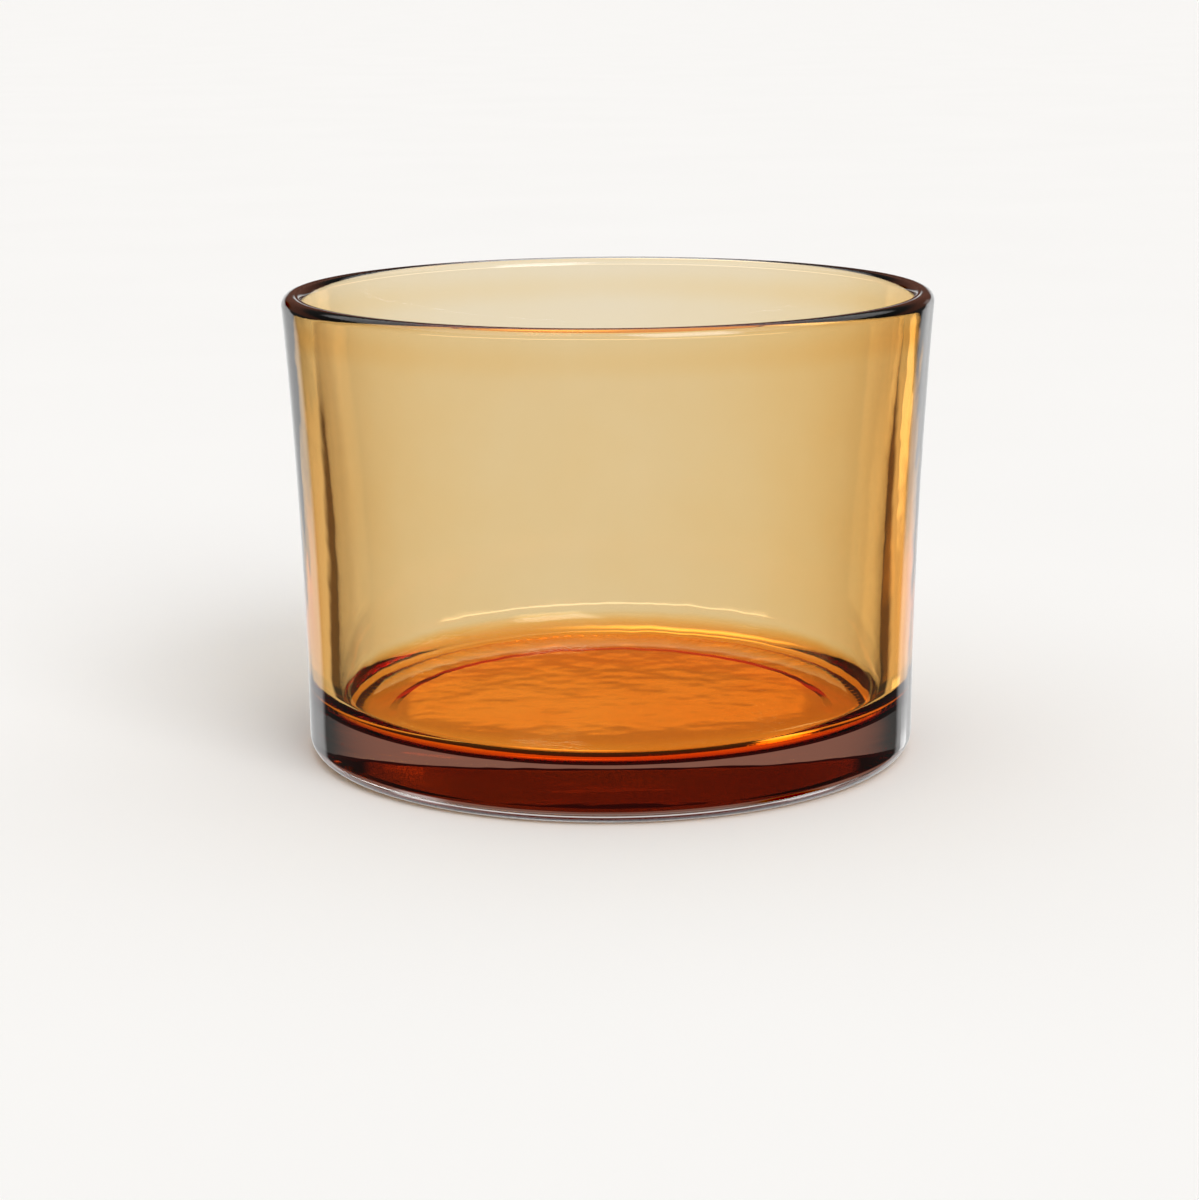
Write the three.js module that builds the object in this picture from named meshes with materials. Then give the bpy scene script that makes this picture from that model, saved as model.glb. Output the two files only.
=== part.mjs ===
// Empty candle jar: a pressed clear glass jar with a translucent amber coat on its inside.
// Millimetres, +Z up. The origin is the centre of the foot, on the surface that the jar stands on.
import * as THREE from "three";

// Overall sizes
const rimDiameter = 106; // outside, at the widest point of the rim
const height = 76; // from the bearing ring to the top of the rim
const footDiameter = 100.8; // outside, where the wall meets the heel

// Glass
const rimThickness = 3.2; // across the fire-polished rim, which is fully round
const lowerWallThickness = 4.9; // just above the heel
const floorThickness = 8; // solid glass under the inside floor
const heelRadius = 3; // outer edge between the wall and the bearing ring
const floorFillet = 5; // inner corner between the wall and the floor

// Underside
const bearingRingInnerDiameter = 75; // the ring that the jar stands on is outside this
const recessDepth = 0.25; // height of the underside's shallow recess over the bearing ring
const recessSlope = 1.5; // width of the sloping edge of the recess

// Coat
const coatThickness = 0.3; // colour coat, thickened from a film so that it is a sound solid
const coatClearance = 0.1; // between the glass and the coat that lies on it

// Smoothness of the turned surfaces
const turnSegments = 72;
const wallSteps = 8;
const rimSteps = 8; // from the outer wall over the crest to the inner wall
const coatLipSteps = 3; // how many of those the coat follows, from the inner wall towards the crest
const filletSteps = 5;

const rimRadius = rimDiameter / 2;
const footRadius = footDiameter / 2;
const rimRounding = rimThickness / 2;
const rimBase = height - rimRounding; // where the wall runs into the rounded rim
const ringRadius = bearingRingInnerDiameter / 2;

// Points of a circular arc in the profile plane, from one angle to another, in radians.
function arc(centreRadius, centreHeight, radius, from, to, steps) {
  const points = [];
  for (let i = 0; i <= steps; i++) {
    const angle = from + ((to - from) * i) / steps;
    points.push(
      new THREE.Vector2(
        centreRadius + radius * Math.cos(angle),
        centreHeight + radius * Math.sin(angle),
      ),
    );
  }
  return points;
}

// A wall line that leaves the vertical at its foot and flares in one long arc to its top.
function flare(footR, footZ, topR, topZ, steps) {
  const rise = topZ - footZ;
  const spread = topR - footR;
  if (spread < 1e-6) {
    return [new THREE.Vector2(footR, footZ), new THREE.Vector2(topR, topZ)];
  }
  const radius = (rise * rise + spread * spread) / (2 * spread);
  const sweep = Math.asin(rise / radius);
  return arc(footR + radius, footZ, radius, Math.PI, Math.PI - sweep, steps);
}

// The inside of the glass, moved into the hollow by an offset: floor centre, floor, fillet, wall.
function insideLine(offset) {
  const fillet = floorFillet - offset;
  const floorZ = floorThickness + offset;
  const wallR = footRadius - lowerWallThickness - offset;
  const wallFootZ = floorThickness + floorFillet;
  const topR = rimRadius - rimThickness - offset;
  return [
    new THREE.Vector2(0, floorZ),
    ...arc(wallR - fillet, wallFootZ, fillet, -Math.PI / 2, 0, filletSteps),
    ...flare(wallR, wallFootZ, topR, rimBase, wallSteps).slice(1),
  ];
}

// The rim's rounding, moved inwards by an offset, from the inner wall over as many of its steps.
function lipLine(offset, steps) {
  const sweep = (Math.PI * steps) / rimSteps;
  const centreR = rimRadius - rimRounding - offset;
  return arc(centreR, rimBase, rimRounding, Math.PI, Math.PI - sweep, steps);
}

function turned(name, profile, material) {
  const geometry = new THREE.LatheGeometry(profile, turnSegments);
  geometry.rotateX(Math.PI / 2);
  const mesh = new THREE.Mesh(geometry, material);
  mesh.name = name;
  return mesh;
}

function clearGlass() {
  return new THREE.MeshStandardMaterial({
    color: 0xeef2f1,
    roughness: 0.02,
    metalness: 0,
    transparent: true,
    opacity: 0.35,
  });
}

function amberLacquer() {
  return new THREE.MeshStandardMaterial({
    color: 0xd98a35,
    roughness: 0.08,
    metalness: 0,
    transparent: true,
    opacity: 0.6,
  });
}

// The glass: recessed underside, bearing ring, heel, flared wall, round rim, inside wall and floor.
function glassJar() {
  const underside = [
    new THREE.Vector2(0, recessDepth),
    new THREE.Vector2(ringRadius - recessSlope, recessDepth),
    new THREE.Vector2(ringRadius, 0),
  ];
  const heelCentre = footRadius - heelRadius;
  const heel = arc(heelCentre, heelRadius, heelRadius, -Math.PI / 2, 0, filletSteps);
  const outerWall = flare(footRadius, heelRadius, rimRadius, rimBase, wallSteps);
  const rim = lipLine(0, rimSteps).reverse();
  const inside = insideLine(0).reverse();
  const profile = [
    ...underside,
    ...heel,
    ...outerWall.slice(1),
    ...rim.slice(1),
    ...inside.slice(1),
  ];
  return turned("glass_jar", profile, clearGlass());
}

// A face of the coat: floor, fillet, wall and the inner half of the rim, up to the coat's edge.
// The rim's curve is only moved inwards, so the coat thins out over it and never stands above the rim.
function coatLine(offset) {
  return [...insideLine(offset), ...lipLine(offset, coatLipSteps).slice(1)];
}

// The coat: a thin skin over the inside of the glass, open at the mouth.
function amberCoat() {
  const bonded = coatLine(coatClearance);
  const bare = coatLine(coatClearance + coatThickness).reverse();
  return turned("amber_coat", [...bonded, ...bare], amberLacquer());
}

const jar = new THREE.Group();
jar.add(glassJar(), amberCoat());

export default jar;
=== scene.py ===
"""Empty candle jar: a pressed clear glass with a thick foot and a translucent amber lacquer
sprayed inside it."""
import math

import bmesh
import bpy
from mathutils import Euler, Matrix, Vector


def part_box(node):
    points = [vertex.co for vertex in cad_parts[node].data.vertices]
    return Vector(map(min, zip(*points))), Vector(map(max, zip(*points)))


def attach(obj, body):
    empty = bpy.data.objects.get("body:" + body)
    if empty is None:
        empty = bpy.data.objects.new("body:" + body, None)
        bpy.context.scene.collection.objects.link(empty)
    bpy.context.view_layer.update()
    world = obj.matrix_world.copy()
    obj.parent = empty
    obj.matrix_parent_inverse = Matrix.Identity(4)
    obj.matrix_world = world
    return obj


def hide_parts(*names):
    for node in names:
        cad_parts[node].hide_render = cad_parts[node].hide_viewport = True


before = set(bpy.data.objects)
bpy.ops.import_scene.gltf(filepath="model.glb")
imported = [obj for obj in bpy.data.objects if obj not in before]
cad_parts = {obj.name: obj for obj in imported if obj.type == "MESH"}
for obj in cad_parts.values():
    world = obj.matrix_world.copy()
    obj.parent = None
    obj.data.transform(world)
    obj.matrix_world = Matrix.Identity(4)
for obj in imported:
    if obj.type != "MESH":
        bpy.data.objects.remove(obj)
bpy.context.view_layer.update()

MM = 0.001
HAIR = 0.01 * MM  # the looks stay this far inside the frame's outermost sizes
BODY = "root"
GLASS_NODE = "glass_jar"
COAT_NODE = "amber_coat"

# Sizes that the frame gives
rim_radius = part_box(GLASS_NODE)[1][0] - HAIR
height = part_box(GLASS_NODE)[1][2] - HAIR
lacquer_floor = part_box(COAT_NODE)[0][2]  # lowest point of the coat, just over the glass floor
lacquer_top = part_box(COAT_NODE)[1][2]  # its edge, on the inner half of the rim

# The glass, as the frame's solids have it
FOOT_RADIUS = 50.4 * MM
RIM_THICKNESS = 3.2 * MM
LOWER_WALL = 4.9 * MM
HEEL_RADIUS = 3.0 * MM
FLOOR_FILLET = 5.0 * MM
RING_RADIUS = 37.5 * MM
RECESS_DEPTH = 0.25 * MM
RECESS_SLOPE = 1.5 * MM
BOND_GAP = 0.1 * MM  # the frame's coat lies this far off the glass
FILM = 0.3 * MM  # the frame's coat is this thick

# What the frame leaves to the looks
SKIN_GAP = 0.02 * MM  # the bonded skins lie this far apart, so that they never share a plane
KNURLS = 120  # small pressed marks round the bearing ring, about 2.4 mm apart
KNURL_DEPTH = 0.05 * MM
KNURL_INNER = 43.4 * MM
KNURL_OUTER = 47.0 * MM
KNURL_MARGIN = 0.2 * MM  # sloping edge of each mark

# Fineness of the turned surfaces
TURN_STEPS = KNURLS * 4
WALL_STEPS = 24
RIM_STEPS = 24
LIP_STEPS = 9
FILLET_STEPS = 14
FLAT = 0.9999  # faces that look this straight up or down are shaded flat, all others smooth
MERGE = SKIN_GAP / 20  # points closer than this are one

rim_rounding = RIM_THICKNESS / 2
rim_base = height - rim_rounding
floor_z = lacquer_floor - BOND_GAP


# ---- drawing and turning ---------------------------------------------------------------------


def start(bm, r, z):
    return bm.verts.new((r, 0, z))


def line_to(bm, tip, r, z):
    """Draws the half section on from its tip, straight to radius r and height z."""
    made = bmesh.ops.extrude_vert_indiv(bm, verts=[tip])["verts"][0]
    made.co = (r, 0, z)
    return made


def arc_round(bm, tip, r, z, degrees, steps):
    """Draws the half section on from its tip, round a centre.

    Positive degrees turn from outwards to upwards."""
    turned = bmesh.ops.spin(
        bm,
        geom=[tip],
        cent=(r, 0, z),
        axis=(0, -1, 0),
        angle=math.radians(degrees),
        steps=steps,
        use_duplicate=False,
    )
    return next(v for v in turned["geom_last"] if isinstance(v, bmesh.types.BMVert))


def flare_to(bm, tip, top_r, top_z, steps):
    """Draws a wall that leaves the vertical at its foot and flares in one long arc."""
    rise = top_z - tip.co.z
    spread = top_r - tip.co.x
    radius = (rise * rise + spread * spread) / (2 * spread)
    sweep = math.degrees(math.asin(rise / radius))
    return arc_round(bm, tip, tip.co.x + radius, tip.co.z, -sweep, steps)


def turn(bm):
    """Spins the half section into a closed body of revolution, with its faces outwards."""
    bmesh.ops.spin(
        bm,
        geom=bm.verts[:] + bm.edges[:],
        cent=(0, 0, 0),
        axis=(0, 0, 1),
        angle=2 * math.pi,
        steps=TURN_STEPS,
        use_merge=True,
        use_duplicate=False,
    )
    bmesh.ops.remove_doubles(bm, verts=bm.verts, dist=MERGE)
    bmesh.ops.recalc_face_normals(bm, faces=bm.faces)


def finish_piece(bm, name, node_name, materials):
    for face in bm.faces:
        face.smooth = abs(face.normal.z) < FLAT
    mesh = bpy.data.meshes.new(name)
    bm.to_mesh(mesh)
    bm.free()
    for material in materials:
        mesh.materials.append(material)
    piece = bpy.data.objects.new(name, mesh)
    bpy.context.scene.collection.objects.link(piece)
    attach(piece, BODY)
    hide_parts(node_name)
    return piece


def inside_line(bm, tip, offset):
    """Draws the jar's inside from the floor's centre to the rim's rounding, moved in by offset."""
    fillet = FLOOR_FILLET - offset
    wall_r = FOOT_RADIUS - LOWER_WALL - offset
    wall_foot = floor_z + FLOOR_FILLET
    tip = line_to(bm, tip, wall_r - fillet, floor_z + offset)
    tip = arc_round(bm, tip, wall_r - fillet, wall_foot, 90, FILLET_STEPS)
    return flare_to(bm, tip, rim_radius - RIM_THICKNESS - offset, rim_base, WALL_STEPS)


def lacquer_line(bm, tip, offset):
    """Draws a face of the lacquer, which goes on over the rim's inner half and thins out there."""
    tip = inside_line(bm, tip, offset)
    lip = math.degrees(math.asin((lacquer_top - rim_base) / rim_rounding))
    return arc_round(bm, tip, rim_radius - rim_rounding - offset, rim_base, -lip, LIP_STEPS)


# ---- colours and nodes -----------------------------------------------------------------------


def linear(hex_colour):
    """An sRGB hex colour as linear red, green, blue and 1."""
    channels = [int(hex_colour[i : i + 2], 16) / 255 for i in (1, 3, 5)]
    return [c / 12.92 if c <= 0.04045 else ((c + 0.055) / 1.055) ** 2.4 for c in channels] + [1.0]


def node(tree, kind, values=None, links=None, **settings):
    """Adds a node, sets its properties and sockets, and links what feeds it."""
    made = tree.nodes.new(kind)
    for name, value in settings.items():
        setattr(made, name, value)
    for socket, value in (values or {}).items():
        made.inputs[socket].default_value = value
    for socket, source in (links or {}).items():
        tree.links.new(source, made.inputs[socket])
    return made


def new_material(name):
    material = bpy.data.materials.new(name)
    material.use_nodes = True
    material.node_tree.nodes.clear()
    return material, material.node_tree


# ---- materials -------------------------------------------------------------------------------

GLASS_IOR = 1.52  # soda-lime glass, and a lacquer matched to it, so nothing bends where they meet
RIPPLE = 7 * MM  # across; drawn out upwards to four times this
RIPPLE_DEPTH = 0.14 * MM
HANDLING_PATCH = 20 * MM
PEEL = 5 * MM  # the spray gun's orange peel
PEEL_DEPTH = 0.05 * MM
SPECK = 3 * MM
BOARD_TOOTH = 120 * MM

# How much red, green and blue one wall thickness of lacquer takes out, as optical depths.
# These and the values below were set to give the look, and aren't measured.
DYE = (0.012, 0.155, 0.47)
FLOOR_POOL = 4.2  # the floor is coloured as if its lacquer, which runs down, were this many walls
POOL_TOP = 4.2 * MM  # over the floor, where the pool starts to thicken
POOL_FULL = 0.6 * MM  # over the floor, where it is at its thickest
EDGE_BEAD = 0.25  # the colour is this share of a wall deeper in a band under the rim
BEAD_BELOW = 5 * MM  # the band's middle, under the coat's edge
BEAD_REACH = 3.5 * MM  # how far it fades either way
HEAVY_SIDE = 0.12  # the spray is this share heavier at +X and lighter at -X
MOTTLE = 14 * MM  # patches of the spray
MOTTLE_SHARE = 0.12  # at most this share of a wall either way
DEEPENING = 2.4  # how fast the colour deepens with slant; a real clear film would have one
DEEPEST_WAY = 2.4  # beyond this many film thicknesses the eye sees no more change
LEAST_COSINE = 0.05  # keeps the slant's power finite
GRAZING_SHADE = 0.62  # painted shade: darkens rays that skim along the film, for the brown foot; not a real loss
GRAZING_FULL, GRAZING_NONE = 0.25, 0.70  # cosines of slant between which that painted shade sets in


def clear_flint_glass():
    """Soda-lime flint, pressed and fire polished: clear, with a plunger's faint ripple."""
    material, tree = new_material("clear_flint_glass")
    place = node(tree, "ShaderNodeTexCoord")
    # The ripple is drawn out upwards, because the gather is pulled up the mould.
    drawn = node(
        tree, "ShaderNodeMapping", {"Scale": (1, 1, 0.25)}, {"Vector": place.outputs["Object"]}
    )
    ripple = node(
        tree,
        "ShaderNodeTexNoise",
        {"Scale": 1 / RIPPLE, "Detail": 1.0},
        {"Vector": drawn.outputs["Vector"]},
    )
    # The ripple fades towards the foot, where it would blur the floor's colour.
    level = node(tree, "ShaderNodeSeparateXYZ", links={"Vector": place.outputs["Object"]})
    on_wall = node(
        tree,
        "ShaderNodeMapRange",
        {"From Min": 2 * MM, "From Max": 14 * MM, "To Min": 0.08, "To Max": 0.4},
        {"Value": level.outputs["Z"]},
    )
    bump = node(
        tree,
        "ShaderNodeBump",
        {"Distance": RIPPLE_DEPTH},
        {"Strength": on_wall.outputs["Result"], "Height": ripple.outputs["Fac"]},
    )
    # A trace of handling film makes the gloss uneven in patches.
    film = node(
        tree, "ShaderNodeTexNoise", {"Scale": 1 / HANDLING_PATCH}, {"Vector": place.outputs["Object"]}
    )
    rough = node(
        tree,
        "ShaderNodeMapRange",
        {"From Min": 0.45, "From Max": 0.75, "To Max": 0.012},
        {"Value": film.outputs["Fac"]},
    )
    shader = node(
        tree,
        "ShaderNodeBsdfPrincipled",
        {"Base Color": linear("#fdfefe"), "IOR": GLASS_IOR, "Transmission Weight": 1.0},
        {"Roughness": rough.outputs["Result"], "Normal": bump.outputs["Normal"]},
    )
    node(tree, "ShaderNodeOutputMaterial", links={"Surface": shader.outputs["BSDF"]})
    return material


def glass_under_lacquer():
    """The glass's inside skin, under lacquer of its own index: it neither bends nor reflects."""
    material, tree = new_material("glass_under_lacquer")
    shader = node(tree, "ShaderNodeBsdfTransparent", {"Color": (1, 1, 1, 1)})
    node(tree, "ShaderNodeOutputMaterial", links={"Surface": shader.outputs["BSDF"]})
    return material


def amber_lacquer_film():
    """Solvent-dyed amber lacquer, sprayed: its colour deepens with light's way through it, and painted shade
    darkens it where rays skim along it.
    """
    material, tree = new_material("amber_lacquer_film")
    place = node(tree, "ShaderNodeTexCoord")
    level = node(tree, "ShaderNodeSeparateXYZ", links={"Vector": place.outputs["Object"]})
    pool = node(
        tree,
        "ShaderNodeMapRange",
        {
            "From Min": floor_z + POOL_TOP,
            "From Max": floor_z + POOL_FULL,
            "To Min": 1.0,
            "To Max": FLOOR_POOL,
        },
        {"Value": level.outputs["Z"]},
        interpolation_type="SMOOTHERSTEP",
    )
    # The bead is a soft band under the rim.
    from_bead = node(
        tree,
        "ShaderNodeMath",
        {1: lacquer_top - BEAD_BELOW},
        {0: level.outputs["Z"]},
        operation="SUBTRACT",
    )
    off_bead = node(tree, "ShaderNodeMath", links={0: from_bead.outputs[0]}, operation="ABSOLUTE")
    bead = node(
        tree,
        "ShaderNodeMapRange",
        {"From Min": BEAD_REACH, "From Max": 0.0, "To Max": EDGE_BEAD},
        {"Value": off_bead.outputs[0]},
        interpolation_type="SMOOTHSTEP",
    )
    side = node(
        tree,
        "ShaderNodeMath",
        {1: HEAVY_SIDE / rim_radius},
        {0: level.outputs["X"]},
        operation="MULTIPLY",
    )
    # The spray lies a little thicker and thinner in patches.
    mottle = node(
        tree,
        "ShaderNodeTexNoise",
        {"Scale": 1 / MOTTLE, "Detail": 2.0},
        {"Vector": place.outputs["Object"]},
    )
    uneven = node(
        tree,
        "ShaderNodeMapRange",
        {"To Min": 1.0 - MOTTLE_SHARE, "To Max": 1.0 + MOTTLE_SHARE},
        {"Value": mottle.outputs["Fac"]},
    )
    spray = node(
        tree, "ShaderNodeMath", links={0: uneven.outputs["Result"], 1: side.outputs[0]}, operation="ADD"
    )
    thick = node(
        tree, "ShaderNodeMath", links={0: pool.outputs["Result"], 1: bead.outputs["Result"]}, operation="ADD"
    )
    film = node(
        tree, "ShaderNodeMath", links={0: thick.outputs[0], 1: spray.outputs[0]}, operation="MULTIPLY"
    )
    # Light that crosses the film aslant goes through more of it.
    slant = node(tree, "ShaderNodeLayerWeight", {"Blend": 0.5})
    cosine = node(tree, "ShaderNodeMath", {0: 1.0}, {1: slant.outputs["Facing"]}, operation="SUBTRACT")
    least = node(tree, "ShaderNodeMath", {1: LEAST_COSINE}, {0: cosine.outputs[0]}, operation="MAXIMUM")
    longer = node(tree, "ShaderNodeMath", {1: -DEEPENING}, {0: least.outputs[0]}, operation="POWER")
    capped = node(tree, "ShaderNodeMath", {1: DEEPEST_WAY}, {0: longer.outputs[0]}, operation="MINIMUM")
    way = node(tree, "ShaderNodeMath", links={0: film.outputs[0], 1: capped.outputs[0]}, operation="MULTIPLY")
    channels = [
        node(tree, "ShaderNodeMath", {0: math.exp(-depth)}, {1: way.outputs[0]}, operation="POWER")
        for depth in DYE
    ]
    colour = node(
        tree,
        "ShaderNodeCombineColor",
        links={i: channel.outputs[0] for i, channel in enumerate(channels)},
    )
    # Painted shade: rays that skim along the film are darkened, for the brown foot, with no real loss behind
    # it.
    skim_shade = node(
        tree,
        "ShaderNodeMapRange",
        {"From Min": GRAZING_FULL, "From Max": GRAZING_NONE, "To Min": 1.0 - GRAZING_SHADE},
        {"Value": cosine.outputs[0]},
        interpolation_type="SMOOTHSTEP",
    )
    shaded_colour = node(
        tree,
        "ShaderNodeMix",
        {"Factor": 1.0},
        {"A": colour.outputs["Color"], "B": skim_shade.outputs["Result"]},
        data_type="RGBA",
        blend_type="MULTIPLY",
    )
    shader = node(tree, "ShaderNodeBsdfTransparent", links={"Color": shaded_colour.outputs[2]})
    node(tree, "ShaderNodeOutputMaterial", links={"Surface": shader.outputs["BSDF"]})
    return material


def lacquer_gloss():
    """The lacquer's bare face: glossy, with a faint orange peel from the spray gun."""
    material, tree = new_material("lacquer_gloss")
    place = node(tree, "ShaderNodeTexCoord")
    peel = node(
        tree,
        "ShaderNodeTexNoise",
        {"Scale": 1 / PEEL, "Detail": 1.0},
        {"Vector": place.outputs["Object"]},
    )
    bump = node(
        tree,
        "ShaderNodeBump",
        {"Strength": 0.3, "Distance": PEEL_DEPTH},
        {"Height": peel.outputs["Fac"]},
    )
    shader = node(
        tree,
        "ShaderNodeBsdfPrincipled",
        {
            "Base Color": linear("#fffdfa"),
            "IOR": GLASS_IOR,
            "Transmission Weight": 1.0,
            "Roughness": 0.0,
        },
        {"Normal": bump.outputs["Normal"]},
    )
    node(tree, "ShaderNodeOutputMaterial", links={"Surface": shader.outputs["BSDF"]})
    return material


def lacquer_edge():
    """The bead where the spray mask ended: lacquer seen edge on, so deep brown."""
    material, tree = new_material("lacquer_edge")
    place = node(tree, "ShaderNodeTexCoord")
    speck = node(
        tree, "ShaderNodeTexNoise", {"Scale": 1 / SPECK}, {"Vector": place.outputs["Object"]}
    )
    tint = node(
        tree,
        "ShaderNodeMix",
        {"A": linear("#b06a1c"), "B": linear("#8a4a10")},
        {"Factor": speck.outputs["Fac"]},
        data_type="RGBA",
    )
    shader = node(
        tree,
        "ShaderNodeBsdfPrincipled",
        {"IOR": GLASS_IOR, "Transmission Weight": 1.0, "Roughness": 0.05},
        {"Base Color": tint.outputs[2]},
    )
    node(tree, "ShaderNodeOutputMaterial", links={"Surface": shader.outputs["BSDF"]})
    return material


def pale_board():
    """Matt painted board, for the floor."""
    material, tree = new_material("pale_board")
    place = node(tree, "ShaderNodeTexCoord")
    tooth = node(
        tree, "ShaderNodeTexNoise", {"Scale": 1 / BOARD_TOOTH}, {"Vector": place.outputs["Object"]}
    )
    tint = node(
        tree,
        "ShaderNodeMix",
        {"A": linear("#f4f3f1"), "B": linear("#f7f6f4")},
        {"Factor": tooth.outputs["Fac"]},
        data_type="RGBA",
    )
    shader = node(
        tree,
        "ShaderNodeBsdfPrincipled",
        {"Roughness": 0.9, "Specular IOR Level": 0.0},
        {"Base Color": tint.outputs[2]},
    )
    node(tree, "ShaderNodeOutputMaterial", links={"Surface": shader.outputs["BSDF"]})
    return material


# ---- pieces ----------------------------------------------------------------------------------

LOOKS_IN = 0.02  # least inward lean of a face on the inside of the glass
STEEP_LOOKS_IN = 0.3  # the same for the coat's bare face, whose bonded face leans outwards
OPENS_UP = 0.7  # an inside face looks up at least this much where it isn't wall
LEVEL = 0.9  # the floor's own faces look up at least this much
EDGE_LEVEL = 0.99  # and so do those of the coat's edge


def is_lacquered(face):
    """True for the glass's inside under the lacquer: floor, fillet, wall, inner half of the rim."""
    middle = face.calc_center_median()
    outward = Vector((middle.x, middle.y, 0)).normalized()
    looks_in = face.normal.dot(outward) < -LOOKS_IN
    on_floor = face.normal.z > LEVEL and middle.z < floor_z + SKIN_GAP
    return (looks_in or on_floor) and floor_z - SKIN_GAP < middle.z < lacquer_top


def press_knurls(bm):
    """Presses short radial marks up into the bearing ring."""
    pitch = 2 * math.pi / KNURLS
    marked = []
    for face in bm.faces:
        middle = face.calc_center_median()
        radius = math.hypot(middle.x, middle.y)
        turn_share = (math.atan2(middle.y, middle.x) % pitch) / pitch
        if abs(middle.z) < SKIN_GAP and KNURL_INNER < radius < KNURL_OUTER and turn_share < 0.5:
            marked.append(face)
    bmesh.ops.inset_region(bm, faces=marked, thickness=KNURL_MARGIN, use_even_offset=True)
    bmesh.ops.translate(
        bm, verts=list({v for face in marked for v in face.verts}), vec=(0, 0, KNURL_DEPTH)
    )


def glass_jar():
    bm = bmesh.new()
    tip = start(bm, 0, RECESS_DEPTH)
    tip = line_to(bm, tip, RING_RADIUS - RECESS_SLOPE, RECESS_DEPTH)
    tip = line_to(bm, tip, RING_RADIUS, 0)
    tip = line_to(bm, tip, KNURL_INNER, 0)
    tip = line_to(bm, tip, KNURL_OUTER, 0)
    tip = line_to(bm, tip, FOOT_RADIUS - HEEL_RADIUS, 0)
    tip = arc_round(bm, tip, FOOT_RADIUS - HEEL_RADIUS, HEEL_RADIUS, 90, FILLET_STEPS)
    tip = flare_to(bm, tip, rim_radius, rim_base, WALL_STEPS)
    rim = arc_round(bm, tip, rim_radius - rim_rounding, rim_base, 180, RIM_STEPS)
    # The inside is drawn from the floor's centre up, as a second line, and meets the rim's arc.
    inside = inside_line(bm, start(bm, 0, floor_z), 0)
    inside.co = rim.co
    turn(bm)
    press_knurls(bm)
    for face in bm.faces:
        face.material_index = 1 if is_lacquered(face) else 0
    return finish_piece(
        bm, "pressed_glass", GLASS_NODE, [clear_flint_glass(), glass_under_lacquer()]
    )


def lacquer_coat():
    bm = bmesh.new()
    bonded = lacquer_line(bm, start(bm, 0, floor_z + SKIN_GAP), SKIN_GAP)
    bare = lacquer_line(bm, start(bm, 0, floor_z + BOND_GAP + FILM), BOND_GAP + FILM)
    bm.edges.new((bonded, bare))
    turn(bm)
    for face in bm.faces:
        middle = face.calc_center_median()
        if face.normal.z > EDGE_LEVEL and middle.z > lacquer_top - SKIN_GAP:
            face.material_index = 2
            continue
        outward = Vector((middle.x, middle.y, 0)).normalized()
        faces_air = (
            face.normal.z > OPENS_UP or face.normal.dot(outward) < -STEEP_LOOKS_IN
        )
        face.material_index = 1 if faces_air else 0
    return finish_piece(
        bm,
        "amber_lacquer_coat",
        COAT_NODE,
        [amber_lacquer_film(), lacquer_gloss(), lacquer_edge()],
    )


# ---- stage, light and camera -----------------------------------------------------------------

BOARD_RADIUS = 20.0
BEHIND = 0.001  # directions less far ahead than this are behind a panel
CAMERA_PITCH = math.radians(12.74)
CAMERA_ROLL = math.radians(-0.44)  # a trace, as of a hand-held camera
CAMERA_DISTANCE = 468.1 * MM
CAMERA_AIM = Vector((-1.71 * MM, 0, 0.4518 * rim_radius))


def floor():
    bm = bmesh.new()
    bmesh.ops.create_circle(bm, cap_ends=True, radius=BOARD_RADIUS, segments=96)
    mesh = bpy.data.meshes.new("floor")
    bm.to_mesh(mesh)
    bm.free()
    mesh.materials.append(pale_board())
    board = bpy.data.objects.new("floor", mesh)
    bpy.context.scene.collection.objects.link(board)
    # The glass shows the studio's panels and not the board, as if the jar were held clear of it.
    board.visible_transmission = False
    board.visible_glossy = False


def softbox(tree, way, azimuth, elevation, width, tall, edge, strength):
    """A soft-edged light panel far away, in degrees. The azimuth runs from behind to the right."""
    level = node(
        tree,
        "ShaderNodeVectorRotate",
        {"Angle": math.radians(azimuth)},
        {"Vector": way},
        rotation_type="Z_AXIS",
    )
    ahead = node(
        tree,
        "ShaderNodeVectorRotate",
        {"Angle": -math.radians(elevation)},
        {"Vector": level.outputs["Vector"]},
        rotation_type="X_AXIS",
    )
    parts = node(tree, "ShaderNodeSeparateXYZ", links={"Vector": ahead.outputs["Vector"]})
    depth = node(tree, "ShaderNodeMath", {1: BEHIND}, {0: parts.outputs["Y"]}, operation="MAXIMUM")
    lit = node(tree, "ShaderNodeMath", {1: BEHIND}, {0: parts.outputs["Y"]}, operation="GREATER_THAN")
    total = node(tree, "ShaderNodeMath", {1: strength}, {0: lit.outputs[0]}, operation="MULTIPLY")
    for axis, size in (("X", width), ("Z", tall)):
        across = node(
            tree, "ShaderNodeMath", links={0: parts.outputs[axis], 1: depth.outputs[0]}, operation="DIVIDE"
        )
        off = node(tree, "ShaderNodeMath", links={0: across.outputs[0]}, operation="ABSOLUTE")
        half = math.tan(math.radians(size / 2))
        soft = math.tan(math.radians(edge))
        fade = node(
            tree,
            "ShaderNodeMapRange",
            {"From Min": half + soft, "From Max": max(half - soft, 0.0)},
            {"Value": off.outputs[0]},
            interpolation_type="SMOOTHSTEP",
        )
        total = node(
            tree,
            "ShaderNodeMath",
            links={0: total.outputs[0], 1: fade.outputs["Result"]},
            operation="MULTIPLY",
        )
    return total.outputs[0]


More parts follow.
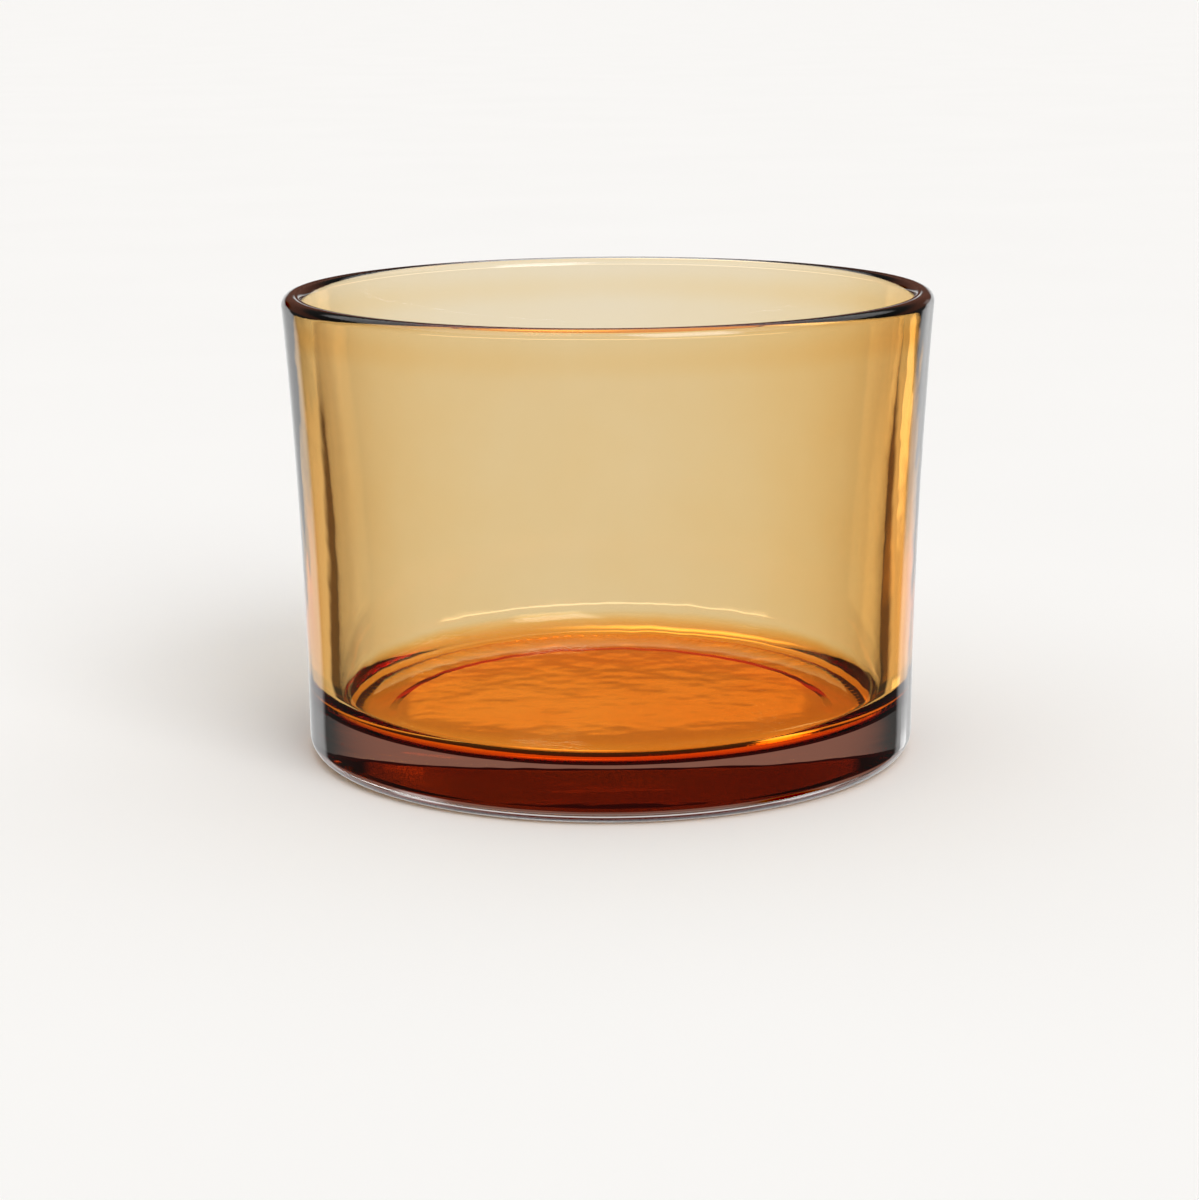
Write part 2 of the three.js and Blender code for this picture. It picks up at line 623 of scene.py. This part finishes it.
# Azimuth, elevation, width, height and edge in degrees, and brightness
PANELS = (
    (0, -38, 81, 84, 4, 0.84),  # light backdrop behind and below the jar
    (0, -14.9, 14, 1.2, 0.5, 0.6),  # lamp strip that lights the jar's floor through the foot
    (27, -20, 9, 60, 3, 0.28),  # tall strip light at the right rear
    (-24, -20, 12, 60, 5, -0.12),  # takes light from the backdrop, as a dark card at the left rear
    (31, -17, 9, 3, 0.8, 1.1),  # small lamp at the right rear, for the glint under the rim
    (74, -48, 20, 14, 3, 3.0),  # small lamp low on the right, for the glint on the front fillet
    (-7, -50, 10, 7, 3, 1.6),  # small lamp low behind, for the streak at the back of the floor
    (150, 38, 30, 36, 5, 5.0),  # window at the right front
    (0, 90, 108, 108, 12, 0.95),  # overhead softbox
)
WARM_PANEL = (0, 14, 130, 18, 5, 1.0)  # a terracotta wall far behind, just over the backdrop
ROOM = linear("#444240")  # the studio's dim walls
TERRACOTTA = linear("#74391f")
BACKDROP = linear("#f3f2f0")  # what the eye sees past the board's far edge


def studio():
    """The panels light the jar and show in its glass. The eye itself sees only a plain backdrop."""
    world = bpy.data.worlds.new("studio")
    bpy.context.scene.world = world
    world.use_nodes = True
    tree = world.node_tree
    tree.nodes.clear()
    way = node(tree, "ShaderNodeTexCoord").outputs["Generated"]
    light = node(tree, "ShaderNodeValue").outputs[0]
    light.default_value = 0.0
    for panel in PANELS:
        light = node(
            tree, "ShaderNodeMath", links={0: light, 1: softbox(tree, way, *panel)}, operation="ADD"
        ).outputs[0]
    lights = node(tree, "ShaderNodeBackground", {"Color": (1, 1, 1, 1)}, {"Strength": light})
    walls = node(tree, "ShaderNodeBackground", {"Color": ROOM})
    warm = node(
        tree,
        "ShaderNodeBackground",
        {"Color": TERRACOTTA},
        {"Strength": softbox(tree, way, *WARM_PANEL)},
    )
    dim = node(tree, "ShaderNodeAddShader", links={0: walls.outputs[0], 1: warm.outputs[0]})
    room = node(tree, "ShaderNodeAddShader", links={0: lights.outputs[0], 1: dim.outputs[0]})
    plain = node(tree, "ShaderNodeBackground", {"Color": BACKDROP})
    seen = node(tree, "ShaderNodeLightPath")
    both = node(
        tree,
        "ShaderNodeMixShader",
        links={0: seen.outputs["Is Camera Ray"], 1: room.outputs[0], 2: plain.outputs[0]},
    )
    node(tree, "ShaderNodeOutputWorld", links={"Surface": both.outputs[0]})


def camera():
    """Looks at the jar from in front and a little above."""
    data = bpy.data.cameras.new("camera")
    data.sensor_width = 36.0
    data.lens = 84.0
    cam = bpy.data.objects.new("camera", data)
    bpy.context.scene.collection.objects.link(cam)
    away = Vector((0, -math.cos(CAMERA_PITCH), math.sin(CAMERA_PITCH)))
    cam.location = CAMERA_AIM + CAMERA_DISTANCE * away
    upright = Euler((math.pi / 2 - CAMERA_PITCH, 0, 0)).to_matrix()
    cam.rotation_euler = (upright @ Euler((0, 0, CAMERA_ROLL)).to_matrix()).to_euler()
    bpy.context.scene.camera = cam


def light_paths():
    """Glass this thick sends light round many times before it leaves, so paths may be long."""
    cycles = bpy.context.scene.cycles
    cycles.max_bounces = 32
    cycles.transmission_bounces = 24
    cycles.glossy_bounces = 16
    cycles.transparent_max_bounces = 48
    bpy.context.scene.view_settings.view_transform = "Standard"


glass_jar()
lacquer_coat()
floor()
studio()
camera()
light_paths()
